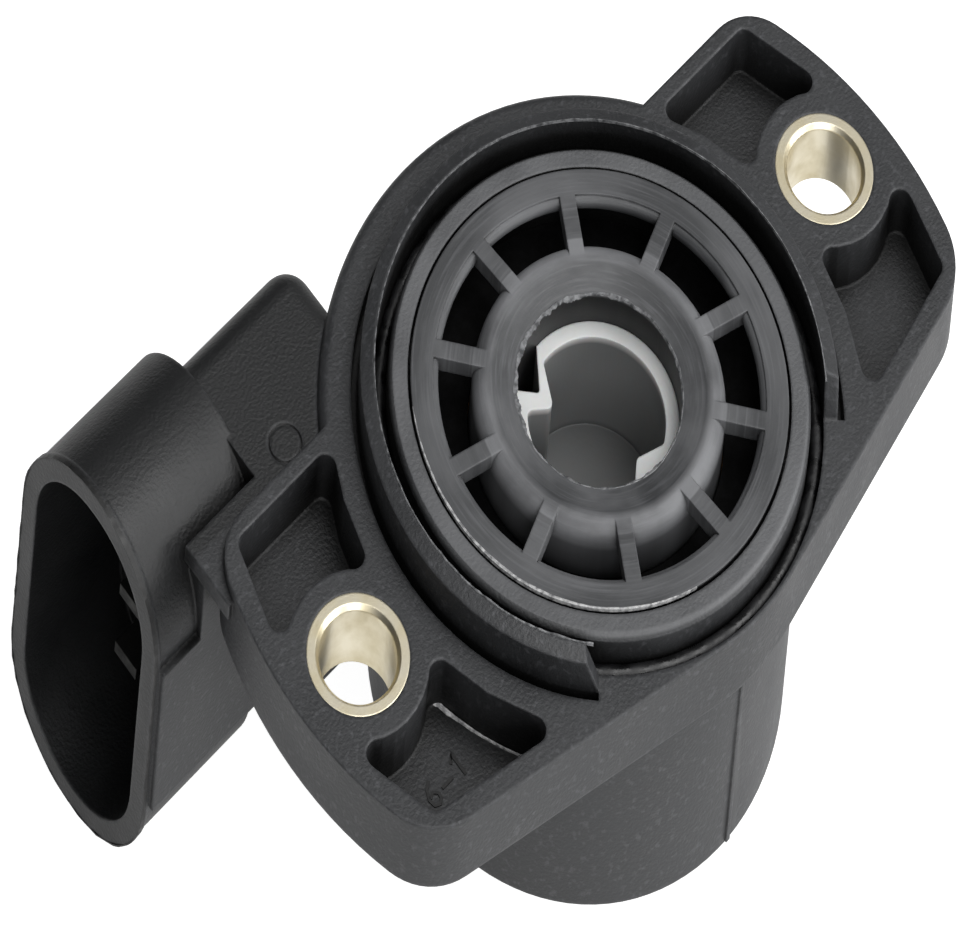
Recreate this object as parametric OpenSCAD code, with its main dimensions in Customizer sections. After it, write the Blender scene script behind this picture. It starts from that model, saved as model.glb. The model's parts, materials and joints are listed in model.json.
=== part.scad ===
// Throttle position sensor: a moulded housing with two brass-bushed ears, a spoked rotor that the
// throttle spindle turns, a resistor board behind it and a three-way connector hood on one side.
// The origin is on the rotor axis in the mounting face. +Z points out of the mounting face.
// X runs through the two fixing holes. The hood opens towards -X. Millimetres and degrees.

/* [Fixing holes] */
// Distance between the centres of the two fixing holes
hole_spacing = 45; // [44:0.5:47]
// Bore of each brass bush
bush_bore_d = 5.3; // [4.6:0.1:5.8]
// Wall of each brass bush
bush_wall = 0.85; // [0.6:0.05:1.1]
// Bevel at the mouth of each bush
bush_bevel = 0.25; // [0.1:0.05:0.4]

/* [Flange] */
// Thickness of the flange
flange_t = 4.5; // [4:0.1:5.5]
// How far each ear reaches past the centre of its hole
ear_reach = 5.3; // [4.8:0.1:6]
// Half height of each ear on the connector side
ear_half = 11.15; // [10.8:0.05:12]
// Slope of the flange's long edges on the open side
edge_slope = 11.8; // [10:0.1:13]
// Rounding of the ears' corners on the connector side
ear_top_r = 3.6; // [2.5:0.1:4.5]
// Rounding of the ears' corners on the open side
ear_low_r = 5; // [3.5:0.1:5.5]
// Radius of the round body on the connector side
body_r = 19.37; // [19.2:0.05:20.5]
// Rounding of the round body's upper edge
body_edge_r = 0.7; // [0.3:0.1:1]

/* [Ear pockets] */
// Depth of the pockets
pocket_depth = 3.5; // [2:0.1:3.8]
// Wall between the pockets and the moat
pocket_inner_wall = 1.6; // [0.5:0.05:1.8]
// Wall at the ears' ends
pocket_end_wall = 1.3; // [0.9:0.1:1.8]
// Wall along the connector side
pocket_top_wall = 1; // [0.8:0.1:1.5]
// Wall along the open side
pocket_low_wall = 1.35; // [0.9:0.05:1.8]
// Half width of the web through each bush
web_half = 3.45; // [3:0.05:4.2]
// Wall of the boss round each bush
boss_wall = 1.35; // [1:0.05:1.8]
// Rounding of the pockets' corners
pocket_corner_r = 0.8; // [0.4:0.1:1.2]

/* [Locating wall] */
// Height of the locating wall above the mounting face
wall_h = 2.37; // [1.8:0.01:3]
// Thickness of the locating wall
wall_t = 0.96; // [0.8:0.02:1.8]
// How far the sloping top of the locating wall drops
wall_lead_in = 0.3; // [0.1:0.05:1.5]
// Angle at which the locating wall starts
wall_from = -43; // [-48:1:-38]
// Sweep of the locating wall
wall_sweep = 269; // [262:1:274]
// Lean of the locating wall's two ends
wall_end_lean = 25; // [10:1:35]
// Width of the moat outside the locating wall
moat_w = 0.5; // [0.4:0.05:1]
// Depth of the moat
moat_depth = 1.2; // [0.8:0.1:1.6]

/* [Collar and face seal] */
// Height of the collar above the mounting face
collar_h = 1.55; // [1.2:0.05:1.8]
// Thickness of the collar
collar_t = 1.34; // [1.1:0.02:1.5]
// Bevel on the collar's outer edge
collar_bevel = 0.3; // [0.1:0.05:0.5]
// Width of the groove for the face seal
groove_w = 1; // [0.9:0.02:1.1]
// Depth of that groove
groove_depth = 1.1; // [0.9:0.05:1.3]
// Section of the face seal
seal_d = 0.95; // [0.8:0.01:0.95]
// Lip outside the groove on the open side
groove_lip = 0.28; // [0.2:0.02:0.5]

/* [Rotor] */
// How far the rotor's face stands above the collar
rotor_rise = 0.1; // [0:0.05:0.3]
// Outer radius of the rotor's rim
rotor_r = 13.1; // [12.9:0.05:13.4]
// Gap between the rotor's rim and the collar
rotor_gap = 0.2; // [0.15:0.01:0.3]
// Width of the rotor's rim
rim_w = 1.55; // [1.2:0.05:2]
// Thickness of the rotor's rim and spokes
rim_t = 1; // [0.7:0.05:1.15]
// Radius of the bead along the rim's inner edge
bead_r = 0.4; // [0.2:0.05:0.45]
// Radius of the rotor's hub
hub_r = 8.8; // [8.4:0.05:9]
// Rounding of the hub's upper edge
hub_edge_r = 1; // [0.3:0.05:1.2]
// How far the hub's face falls towards its bore
hub_dish = 0.5; // [0.2:0.05:0.8]
// Radius of the rotor's bore
bore_r = 5.77; // [5.4:0.01:6]
// Depth of the bore below the mounting face
bore_depth = 9; // [8:0.1:9.4]
// Number of spokes
spoke_count = 10; // [8:1:12]
// Width of each spoke
spoke_w = 1.1; // [0.8:0.05:1.4]
// Angle of the first spoke
spoke_turn = 21.3; // [0:0.1:36]
// Height of the stop lug under the rim
lug_h = 1; // [0.6:0.1:1.4]
// Width of the stop lug and of its two ribs
lug_w = 2.4; // [1.6:0.1:3]
// Travel of the rotor
travel = 95; // [80:1:110]
// Spare travel before the lug meets a rib
travel_spare = 3; // [2:0.5:6]

/* [Drive socket] */
// Depth of the drive socket's upper edge below the mounting face
socket_top = 1; // [0.5:0.1:2]
// Wall of the drive socket
socket_wall = 0.95; // [0.7:0.05:1.2]
// Floor of the drive socket
socket_floor = 1; // [0.6:0.1:1.5]
// How far the wide drive key stands in from the wall
key_a_in = 1.8; // [1.2:0.1:2]
// Angle of the wide drive key's crest
key_a = 130; // [115:1:140]
// How far the narrow drive key stands in from the wall
key_b_in = 1.25; // [0.9:0.05:1.5]
// Angle of the narrow drive key's crest
key_b = -83; // [-95:1:-70]
// Rounding of the drive keys
key_r = 0.4; // [0.2:0.05:0.5]
// Skin of plastic between each drive key and the hollow behind it
key_skin = 1.1; // [0.8:0.05:1.3]

/* [Bearing] */
// Depth of the well under the rotor's spokes
well_depth = 3; // [2.6:0.1:3.4]
// Depth of the underside of the bearing wall
bearing_bottom = 8.6; // [8.3:0.1:8.7]
// Wall of the bearing sleeve
sleeve_wall = 0.85; // [0.6:0.05:1.2]
// Radial running clearance of the hub in its sleeve
running_gap = 0.05; // [0.03:0.01:0.08]
// Radial clearance of parts that are pressed or slid home
seat_gap = 0.02; // [0.01:0.01:0.04]
// Thickness of the dust seal round the hub
dust_seal_t = 1.2; // [0.8:0.1:1.6]
// Thickness of the thrust washer
washer_t = 0.4; // [0.3:0.05:0.5]
// Thickness of the retaining ring
ring_t = 0.8; // [0.6:0.05:0.9]
// Depth of the retaining ring's groove in the hub
ring_groove = 0.5; // [0.3:0.05:0.7]
// How far the washer and the ring stand out from the hub
ring_reach = 1.6; // [1.2:0.1:2]

/* [Can] */
// Outer radius of the can behind the flange
can_r = 14.5; // [14.4:0.05:14.9]
// Depth of the can's rear edge below the mounting face
can_depth = 19.6; // [19.4:0.1:22]
// Wall of the can's upper part
can_wall = 2.6; // [2.5:0.05:2.8]
// Radius of the resistor board
board_r = 12.25; // [12.2:0.01:12.4]
// Width of the seam down the can
seam_w = 0.35; // [0.2:0.05:0.5]
// How far the seam stands out
seam_out = 0.12; // [0.05:0.01:0.2]
// Angle of the seam
seam_turn = -88.5; // [-95:0.5:-80]

/* [Rear cover] */
// Thickness of the rear cover
cover_t = 1.2; // [0.9:0.1:1.6]
// Thickness of the cover's gasket
gasket_t = 0.4; // [0.3:0.05:0.6]
// Wall of the can round the cover
cover_wall = 1.25; // [1.1:0.05:1.4]
// Wall of the cover's inner rim
cover_rim_wall = 0.5; // [0.4:0.05:0.55]
// Depth of the ring moulded into the cover
cover_ring_depth = 0.4; // [0.2:0.05:0.5]

/* [Connector hood] */
// Distance of the hood's mouth from the rotor axis
mouth_x = 30.2; // [29.8:0.1:32]
// Length of the hood
hood_len = 9.9; // [9.6:0.1:10.2]
// Width of the hood
hood_w = 13.8; // [13.5:0.1:14.1]
// Height of the hood
hood_h = 24.3; // [23.8:0.1:25]
// Distance of the hood's middle from the line through the holes
hood_y = 18.1; // [18:0.05:18.3]
// Rounding of the hood's corners
hood_corner_r = 6.7; // [5.5:0.1:6.7]
// Wall of the hood
hood_wall = 1.35; // [1:0.05:1.6]
// Depth of the hood's cavity
cavity_depth = 8.7; // [8.4:0.1:8.9]
// Width of the raised lip at the mouth
lip_w = 0.5; // [0.4:0.05:1]
// How far the lip stands out
lip_out = 0.12; // [0.05:0.01:0.2]
// How far the panel on the hood's side stands out
panel_out = 0.4; // [0.2:0.05:0.6]
// Depth of the panel's lower edge
panel_low = 17.5; // [16:0.1:18]
// Depth of the step in the panel's upper edge
panel_step = 6.9; // [6:0.1:8]
// Length of the panel's upper part
panel_top_len = 6.1; // [5.7:0.1:6.6]

/* [Neck and plate] */
// Depth of the neck's and the corner plate's upper face below the mounting face
neck_top = 0.65; // [0.4:0.05:1]
// Depth of the neck's underside
neck_bottom = 18; // [17.6:0.1:18.2]
// Reach of the neck from the line through the holes
neck_y = 21.3; // [20.8:0.1:22]
// Distance of the neck's right end from the rotor axis
neck_end_x = 9.4; // [8.8:0.1:9.6]
// Rounding of the neck's outer edges
neck_r = 2.2; // [1.4:0.1:2.6]
// Distance of the ejector mark from the hood
mark_x = 2.5; // [2:0.1:4]
// Distance of the ejector mark from the neck's side towards the ear
mark_y = 1.3; // [1.2:0.1:4]
// Diameter of the ejector mark on the neck
mark_d = 2.4; // [1.6:0.1:2.6]
// Depth of the ejector mark
mark_depth = 0.12; // [0.05:0.01:0.2]
// Thickness of the corner plate
plate_t = 1.1; // [0.8:0.05:1.4]
// Length of the corner plate along the hood
plate_len = 6.7; // [6:0.1:7.4]
// How far the corner plate stands out from the hood's side
plate_out = 3.3; // [2.8:0.1:3.8]
// How far the corner plate reaches over the hood's rounded side
plate_over = 1.2; // [0.5:0.1:1.4]
// Distance of the shoulder's lower side from the line through the holes
shoulder_y = 7.6; // [7.4:0.1:8.5]
// Distance of the shoulder's right end from the rotor axis
shoulder_end_x = 5; // [4:0.1:6]
// Depth of the shoulder's underside
shoulder_bottom = 14.9; // [14.6:0.1:16]

/* [Contacts] */
// Width of each contact blade
blade_w = 2.2; // [1.6:0.1:2.8]
// Thickness of the contacts
blade_t = 0.8; // [0.6:0.05:0.9]
// Distance between the blades
blade_pitch = 4.6; // [4.2:0.1:4.7]
// How far the blades stand out of the cavity's floor
blade_out = 4.4; // [4:0.1:7.8]
// Width of the contacts' inner tails
tail_w = 1.5; // [1.2:0.1:1.8]
// Radius of the round end of each tail
pad_disc_r = 1; // [0.9:0.05:1.1]
// Thickness of the contacts' inner tails
tail_t = 0.5; // [0.4:0.05:0.6]
// Clearance round the contacts in the moulding
contact_gap = 0.03; // [0.02:0.01:0.06]
// Radius of the rivets through the board
rivet_r = 0.5; // [0.35:0.05:0.6]
// Height of the rivets' heads
rivet_head = 0.3; // [0.2:0.05:0.4]

/* [Resistor board and wipers] */
// Thickness of the resistor board
board_t = 1; // [0.8:0.05:1.2]
// Depth of the board's upper face below the mounting face
board_top = 13.6; // [13.5:0.1:13.8]
// Radius of the hole in the board
board_hole_r = 4; // [3:0.1:4.5]
// Thickness of the printed tracks
track_t = 0.1; // [0.05:0.01:0.12]
// Inner radius of the collector track
collector_r = 5.6; // [5.4:0.1:5.8]
// Width of the collector track
collector_w = 1.4; // [1:0.1:1.6]
// Inner radius of the resistor track
resistor_r = 8; // [7.8:0.1:8.4]
// Width of the resistor track
resistor_w = 1.6; // [1.2:0.1:1.8]
// Thickness of the wiper carrier
carrier_t = 1.4; // [1.2:0.05:1.5]
// How far the wiper carrier stands out from the hub
carrier_reach = 2.4; // [2:0.1:2.6]
// Thickness of the wipers' spring strip
strip_t = 0.2; // [0.15:0.01:0.25]
// Width of each wiper
wiper_w = 1.2; // [0.8:0.1:1.4]
// Radius of the wipers' rivets
wiper_rivet_r = 0.35; // [0.25:0.05:0.4]
// Width of the printed leads
lead_w = 0.5; // [0.3:0.05:0.8]
// Gap between the wipers' tips and the tracks
wiper_gap = 0.06; // [0.04:0.01:0.1]

/* [Hidden] */
$fn = 96;

black_plastic = [0.09, 0.09, 0.1];
dark_plastic = [0.06, 0.06, 0.065];
brass = [0.86, 0.8, 0.62];
rubber = [0.03, 0.03, 0.03];
natural_plastic = [0.88, 0.88, 0.86];
bronze = [0.62, 0.45, 0.28];
steel = [0.7, 0.7, 0.72];
laminate = [0.2, 0.36, 0.24];
carbon_ink = [0.05, 0.05, 0.06];
silver_ink = [0.75, 0.75, 0.75];
tinned = [0.8, 0.8, 0.78];

// A cut starts and ends this far outside what it cuts.
over = 0.5;
// Shapes of one moulding run this far into each other.
bite = 0.4;
far = 200;

hole_x = hole_spacing / 2;
bush_r = bush_bore_d / 2 + bush_wall;
boss_r = bush_r + boss_wall;
ear_end_r = hole_x + ear_reach;

collar_in_r = rotor_r + rotor_gap;
collar_out_r = collar_in_r + collar_t;
groove_out_r = collar_out_r + groove_w;
wall_out_r = groove_out_r + wall_t;
moat_out_r = wall_out_r + moat_w;
open_edge_r = groove_out_r + groove_lip;
pocket_in_r = moat_out_r + pocket_inner_wall;
pocket_out_r = ear_end_r - pocket_end_wall;

// The open side's long edges touch the circle round the groove and slope towards the ears' ends.
edge_normal = [sin(edge_slope), -cos(edge_slope)];
edge_along = [cos(edge_slope), sin(edge_slope)];

rotor_top = collar_h + rotor_rise;
rim_in_r = rotor_r - rim_w;
rim_bottom = rotor_top - rim_t;
// The bead lies this far below the rotor's face.
bead_drop = 0.12;
// A narrow shelf runs round the well just under the rim.
shelf_w = 0.7;
shelf_gap = 0.25;
well_r = collar_in_r - shelf_w;
well_step = rim_bottom - shelf_gap;
lug_bottom = rim_bottom - lug_h;
lug_in_r = rim_in_r;
lug_gap = 0.3;
lug_out_r = well_r - lug_gap;
lug_start = 150;
lug_half_angle = asin(lug_w / 2 / lug_in_r);

hub_top = rotor_top;
bore_lip_z = hub_top - hub_dish;
socket_r = bore_r - seat_gap;
socket_in_r = socket_r - socket_wall;
// Which way each drive key's two sides run out from its crest, turned from its own radius
key_a_sides = [-69, 14];
key_b_sides = [-56, 66];
// The hollow behind a drive key is turned this far from it, so that its walls come out even.
hollow_turn = -10;
hollow_r = 0.2;

sleeve_in_r = hub_r + running_gap;
sleeve_out_r = sleeve_in_r + sleeve_wall;
sleeve_seat_r = sleeve_out_r + seat_gap;
dust_seal_gap = 0.1;
washer_gap = 0.1;
washer_top = bearing_bottom + washer_gap;
ring_top = washer_top + washer_t;
ring_bottom = ring_top + ring_t;
ring_gap = 0.05;
ring_out_r = hub_r + ring_reach;
carrier_gap = 0.6;
carrier_top = ring_bottom + carrier_gap;
carrier_bottom = carrier_top + carrier_t;
carrier_r = hub_r + carrier_reach;
hub_bottom = -carrier_bottom;

chamber_r = can_r - can_wall;
board_seat_r = board_r + seat_gap;
board_bottom = board_top + board_t;
cover_top = can_depth - cover_t;
gasket_top = cover_top - gasket_t;
cover_seat_r = can_r - cover_wall;
cover_r = cover_seat_r - seat_gap;

hood_back_x = mouth_x - hood_len;
cavity_floor_x = mouth_x - cavity_depth;
hood_mid_z = -hood_h / 2;
hood_y0 = hood_y - hood_w / 2;
hood_y1 = hood_y + hood_w / 2;

// Centres of the two roundings at one ear's end
top_y = ear_half - ear_top_r;
top_corner = [sqrt(pow(ear_end_r - ear_top_r, 2) - pow(top_y, 2)), top_y];
low_d = open_edge_r - ear_low_r;
low_corner = low_d * edge_normal + sqrt(pow(ear_end_r - ear_low_r, 2) - pow(low_d, 2)) * edge_along;

// Each contact's riser stands at its own distance from the axis, so that it clears the next blade.
riser_x = [-11.6, -14.2, -16.8];
// Each tail turns towards the board at its own distance from the line through the holes.
elbow_y = [14, 12.6, 11.5];
// The shoulder covers the tails by this much.
tail_cover = 0.6;
blade_z = [for (i = [1, 0, -1]) hood_mid_z + i * blade_pitch];
pad_inset = 1.2;
pad_r = chamber_r - pad_inset;
pad_angle = [108, 124, 140];
tail_bottom = -board_top;
tail_top = tail_bottom + tail_t;

track_top = board_top - track_t;
wiper_base_r = hub_r + carrier_reach / 2;
wiper_spread = 26;
outer_turn = -60;
inner_turn = -100;
// The tracks cover the wipers' tips over the whole travel.
track_before = 30;
track_after = 5;
track_from = outer_turn - track_before;
track_to = outer_turn + travel + track_after;
// A lead runs this many degrees under its track, and stops this far short of its contact.
lead_lap = 2;
lead_gap = 0.1;
// A wiper's finger slopes down over this length and then lies flat on its foot.
finger_slope = 1.2;
finger_foot = 0.8;
// The wipers' rivets as shares of the wipers' spread
rivet_share = [0.25, 0.8];

cover_rim_gap = 0.15;
board_clamp_gap = 0.05;
cover_ring_r = 5.5;
cover_ring_w = 1.2;
mark_line_w = 0.15;

// A flat ring between two radii, from depth z0 up by h
module ring(r_in, r_out, z0, h) {
    translate([0, 0, z0]) difference() {
        cylinder(r = r_out, h = h);
        translate([0, 0, -over]) cylinder(r = r_in, h = h + 2 * over);
    }
}

// A disc from height z0 up to z1
module disc(r, z0, z1) {
    translate([0, 0, z0]) cylinder(r = r, h = z1 - z0);
}

// The half of the drawing plane on one side of a line at distance d along direction n
module half_plane(n, d) {
    angle = atan2(n[1], n[0]);
    rotate(angle) translate([d - 2 * far, -far]) square([2 * far, 2 * far]);
}

// What lies inside the flange's two sloping edges and the circle between them
module open_side(inset) {
    edge = open_edge_r - inset;
    mirrored_normal = [-edge_normal[0], edge_normal[1]];
    difference() {
        intersection() {
            half_plane(edge_normal, edge);
            half_plane(mirrored_normal, edge);
        }
        corner_wedge([0, 0], edge_normal, mirrored_normal, 2 * edge);
    }
    circle(r = edge);
}

// The outline of both ears, each side moved in by its own inset
module ear_band(end_in, top_in, low_in) {
    intersection() {
        circle(r = ear_end_r - end_in);
        half_plane([0, 1], ear_half - top_in);
        open_side(low_in);
    }
}

// The wedge at c between directions a and b
module corner_wedge(c, a, b, reach) {
    polygon([c, c + reach * a, c + reach * (a + b), c + reach * b]);
}

// Rounds the two corners of the ear at +X
module round_ear_corners() {
    difference() {
        children();
        corner_wedge(top_corner, [0, 1], top_corner / norm(top_corner), 3 * ear_top_r);
        corner_wedge(low_corner, edge_normal, low_corner / norm(low_corner), 3 * ear_low_r);
    }
    translate(top_corner) circle(r = ear_top_r);
    translate(low_corner) circle(r = ear_low_r);
}

module ears_outline() {
    round_ear_corners()
        mirror([1, 0]) round_ear_corners()
            ear_band(0, 0, 0);
}

// The round body on the connector side, cut off along the flange's open side
module body_disc() {
    intersection() {
        rotate_extrude() {
            translate([0, -flange_t]) square([body_r - body_edge_r, flange_t]);
            translate([0, -flange_t]) square([body_r, flange_t - body_edge_r]);
            translate([body_r - body_edge_r, -body_edge_r]) circle(r = body_edge_r, $fn = 48);
        }
        translate([0, 0, -flange_t - over]) linear_extrude(flange_t + 2 * over) open_side(0);
    }
}

// The pocket on one side of one ear's web, as drawn on the mounting face
module pocket_outline(side) {
    offset(r = pocket_corner_r, $fn = 32) offset(delta = -pocket_corner_r)
        difference() {
            intersection() {
                ear_band(pocket_end_wall, pocket_top_wall, pocket_low_wall);
                translate([0, side > 0 ? web_half : -far]) square([far, far - (side > 0 ? 0 : web_half)]);
            }
            circle(r = pocket_in_r);
            translate([hole_x, 0]) circle(r = boss_r);
        }
}

module ear_pockets() {
    translate([0, 0, -pocket_depth]) linear_extrude(pocket_depth + over)
        for (end = [0, 1]) mirror([end, 0])
            for (side = [1, -1]) pocket_outline(side);
}

// The wall that centres the sensor in the throttle body: its top slopes down as a lead-in, and its
// two ends lean back
module locating_wall() {
    reach = 2 * wall_h;
    difference() {
        rotate([0, 0, wall_from]) rotate_extrude(angle = wall_sweep)
            polygon([
                [groove_out_r, -bite],
                [groove_out_r, wall_h],
                [wall_out_r, wall_h - wall_lead_in],
                [wall_out_r, -bite]
            ]);
        for (end = [0, 1]) rotate([0, 0, wall_from + end * wall_sweep]) mirror([0, end, 0])
            translate([groove_out_r - over, 0, 0]) rotate([-wall_end_lean, 0, 0])
                translate([0, -reach, 0]) cube([wall_t + 2 * over, reach, 2 * wall_h]);
    }
}

module moat() {
    rotate([0, 0, wall_from]) rotate_extrude(angle = wall_sweep)
        translate([wall_out_r, -moat_depth]) square([moat_w, moat_depth + over]);
}

module collar() {
    rotate_extrude() polygon([
        [collar_in_r, -bite],
        [collar_in_r, collar_h],
        [collar_out_r - collar_bevel, collar_h],
        [collar_out_r, collar_h - collar_bevel],
        [collar_out_r, -bite]
    ]);
}

// A prism along X over the outline drawn in Y and Z
module along_x(x0, x1) {
    translate([x0, 0, 0]) rotate([90, 0, 90]) linear_extrude(x1 - x0) children();
}

// The hood's outline, moved in by inset
module hood_outline(inset) {
    r = hood_corner_r - inset;
    y0 = hood_y0 + inset;
    y1 = hood_y1 - inset;
    z0 = -hood_h + inset;
    z1 = -inset;
    translate([y0 + r, z0]) square([y1 - y0 - 2 * r, z1 - z0]);
    translate([y0, z0 + r]) square([y1 - y0, z1 - z0 - 2 * r]);
    for (y = [y0 + r, y1 - r], z = [z0 + r, z1 - r]) translate([y, z]) circle(r = r, $fn = 64);
}

// A prism along Y over the outline drawn in X and Z
module along_y(y0, y1) {
    translate([0, y1, 0]) rotate([90, 0, 0]) linear_extrude(y1 - y0) children();
}

// The raised panel on the hood's side: a long low part, and a part that rises to the corner plate
module hood_panel() {
    x0 = -mouth_x + lip_w;
    x1 = -hood_back_x;
    y0 = hood_y0 - panel_out;
    along_y(y0, hood_y0 + bite)
        polygon([[x0, -panel_low], [x0, -panel_step], [x1, -panel_step], [x1, -panel_low]]);
    along_y(y0, hood_y0 + plate_over)
        translate([x1 - panel_top_len, -panel_low])
            square([panel_top_len, panel_low - neck_top - plate_t / 2]);
}

module hood() {
    along_x(-mouth_x, -mouth_x + lip_w) hood_outline(0);
    along_x(-mouth_x + lip_w - over, -hood_back_x) hood_outline(lip_out);
    hood_panel();
}

module hood_cavity() {
    along_x(-mouth_x - over, -cavity_floor_x) hood_outline(hood_wall);
}

// The block that carries the contacts from the hood to the can, its outer edges rounded
module neck() {
    x0 = -hood_back_x - bite;
    x1 = -neck_end_x - neck_r;
    y0 = hood_y0;
    y1 = neck_y - neck_r;
    z0 = -neck_bottom;
    z1 = -neck_top;
    translate([x0, y0, z0]) cube([x1 - x0, y1 - y0, z1 - z0]);
    along_x(x0, x1) {
        translate([y1 - bite, z0]) square([bite, z1 - z0]);
        translate([y1 - bite, z0 + neck_r]) square([neck_r + bite, z1 - z0 - 2 * neck_r]);
        for (z = [z0 + neck_r, z1 - neck_r]) translate([y1, z]) circle(r = neck_r);
    }
    along_y(y0, y1) {
        translate([x1 - bite, z0]) square([bite, z1 - z0]);
        translate([x1 - bite, z0 + neck_r]) square([neck_r + bite, z1 - z0 - 2 * neck_r]);
        for (z = [z0 + neck_r, z1 - neck_r]) translate([x1, z]) circle(r = neck_r);
    }
    translate([x1, y1, z0 + neck_r]) cylinder(r = neck_r, h = z1 - z0 - 2 * neck_r);
    for (z = [z0 + neck_r, z1 - neck_r]) translate([x1, y1, z]) sphere(r = neck_r);
    // A strip joins the block to the ear's edge.
    translate([x0, y0 - bite, -flange_t]) cube([x1 - x0, 2 * bite, flange_t - neck_top]);
}

// The block under the flange that carries the contacts' tails from the neck into the can
module shoulder() {
    x0 = riser_x[2] - tail_w;
    translate([x0, shoulder_y, -shoulder_bottom])
        cube([
            -shoulder_end_x - x0,
            elbow_y[0] + tail_cover - shoulder_y,
            shoulder_bottom - flange_t / 2
        ]);
}

// The flat plate beside the hood, level with the neck's upper face
module corner_plate() {
    translate([-hood_back_x - plate_len, hood_y0 - plate_out, -neck_top - plate_t])
        cube([plate_len + bite, plate_out + plate_over, plate_t]);
}

module ejector_mark() {
    translate([mark_x - hood_back_x, hood_y0 + mark_y, -neck_top - mark_depth]) difference() {
        cylinder(d = mark_d, h = 1, $fn = 48);
        translate([0, 0, -over]) cylinder(d = mark_d - 2 * mark_line_w, h = 1 + 2 * over, $fn = 48);
    }
}

module can() {
    disc(can_r, -can_depth, -flange_t + bite);
    seam_h = can_depth - flange_t;
    rotate([0, 0, seam_turn]) translate([can_r - bite, -seam_w / 2, -can_depth])
        cube([bite + seam_out, seam_w, seam_h]);
}

// The tail of a contact as drawn on the board: a strip with one bend, and a round end for its rivet
module tail_outline(i, grow) {
    w = tail_w / 2 + grow;
    start = [riser_x[i], hood_y];
    bend = [riser_x[i], elbow_y[i]];
    end = pad_r * [cos(pad_angle[i]), sin(pad_angle[i])];
    run_a = (bend - start) / norm(bend - start);
    run_b = (end - bend) / norm(end - bend);
    side_a = w * [-run_a[1], run_a[0]];
    side_b = w * [-run_b[1], run_b[0]];
    mitre = (side_a + side_b) / (1 + run_a * run_b);
    polygon([start + side_a, bend + mitre, end + side_b, end - side_b, bend - mitre, start - side_a]);
    translate(end) circle(r = pad_disc_r + grow);
}

// One contact: blade, riser and tail, with every face moved out by grow
module contact_body(i, grow) {
    g = grow;
    x_tip = -cavity_floor_x - blade_out;
    z_mid = blade_z[i];
    z_low = min(z_mid - blade_t / 2, tail_bottom);
    z_high = max(z_mid + blade_t / 2, tail_top);
    translate([x_tip - g, hood_y - blade_w / 2 - g, z_mid - blade_t / 2 - g])
        cube([riser_x[i] + blade_t / 2 - x_tip + 2 * g, blade_w + 2 * g, blade_t + 2 * g]);
    translate([riser_x[i] - blade_t / 2 - g, hood_y - blade_w / 2 - g, z_low - g])
        cube([blade_t + 2 * g, blade_w + 2 * g, z_high - z_low + 2 * g]);
    translate([0, 0, tail_bottom - g]) linear_extrude(tail_t + 2 * g) tail_outline(i, g);
}

// The two ribs in the well that end the rotor's travel
module stop_ribs() {
    gap = lug_half_angle * 2 + travel_spare;
    z0 = dust_seal_t - well_depth + dust_seal_gap;
    z1 = lug_bottom + lug_h / 2;
    for (a = [lug_start - gap, lug_start + travel + gap])
        rotate([0, 0, a]) translate([lug_in_r, -lug_w / 2, z0])
            cube([well_r - lug_in_r + bite, lug_w, z1 - z0]);
}

module housing() {
    color(black_plastic) {
        difference() {
            union() {
                difference() {
                    union() {
                        translate([0, 0, -flange_t]) linear_extrude(flange_t) ears_outline();
                        body_disc();
                        neck();
                        shoulder();
                        corner_plate();
                        hood();
                        can();
                    }
                    ear_pockets();
                    moat();
                    ejector_mark();
                    ring(collar_out_r, groove_out_r, -groove_depth, groove_depth + over);
                    disc(collar_in_r, well_step, over);
                }
                locating_wall();
                collar();
            }
            for (side = [-1, 1]) translate([side * hole_x, 0, -flange_t - over])
                cylinder(r = bush_r, h = flange_t + 2 * over);
            disc(collar_in_r, well_step, collar_h + over);
            disc(well_r, -well_depth, collar_h);
            disc(sleeve_seat_r, -bearing_bottom - over, -over);
            disc(chamber_r, -can_depth - over, -bearing_bottom);
            disc(board_seat_r, -can_depth - over, -board_top);
            disc(cover_seat_r, -can_depth - over, -gasket_top);
            hood_cavity();
            for (i = [0 : 2]) contact_body(i, contact_gap);
        }
        stop_ribs();
    }
}

// One ear's bush, bevelled at both mouths
module bush(side) {
    color(brass) translate([side * hole_x, 0, -flange_t]) rotate_extrude() polygon([
        [bush_bore_d / 2 + bush_bevel, 0],
        [bush_r, 0],
        [bush_r, flange_t],
        [bush_bore_d / 2 + bush_bevel, flange_t],
        [bush_bore_d / 2, flange_t - bush_bevel],
        [bush_bore_d / 2, bush_bevel]
    ]);
}

module bush_left() {
    bush(-1);
}

module bush_right() {
    bush(1);
}

// The ring seal that lies in the groove of the mounting face
module face_seal() {
    color(rubber) rotate_extrude()
        translate([(collar_out_r + groove_out_r) / 2, -groove_depth + seal_d / 2])
            circle(d = seal_d, $fn = 48);
}

module rotor_hub() {
    rotate_extrude() difference() {
        union() {
            polygon([
                [0, hub_bottom],
                [hub_r, hub_bottom],
                [hub_r, hub_top - hub_edge_r],
                [hub_r - hub_edge_r, hub_top - hub_edge_r],
                [hub_r - hub_edge_r, hub_top],
                [bore_r, bore_lip_z],
                [0, bore_lip_z]
            ]);
            translate([hub_r - hub_edge_r, hub_top - hub_edge_r]) circle(r = hub_edge_r, $fn = 48);
        }
        translate([0, -bore_depth]) square([bore_r, bore_depth + hub_top + over]);
        translate([hub_r - ring_groove, -ring_bottom - ring_gap])
            square([ring_groove + over, ring_t + 2 * ring_gap]);
    }
}

module rotor_spokes() {
    for (i = [0 : spoke_count - 1])
        rotate([0, 0, spoke_turn + i * 360 / spoke_count])
            translate([hub_r - hub_edge_r, -spoke_w / 2, rim_bottom])
                cube([rim_in_r - hub_r + hub_edge_r + bite, spoke_w, rim_t]);
}

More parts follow.
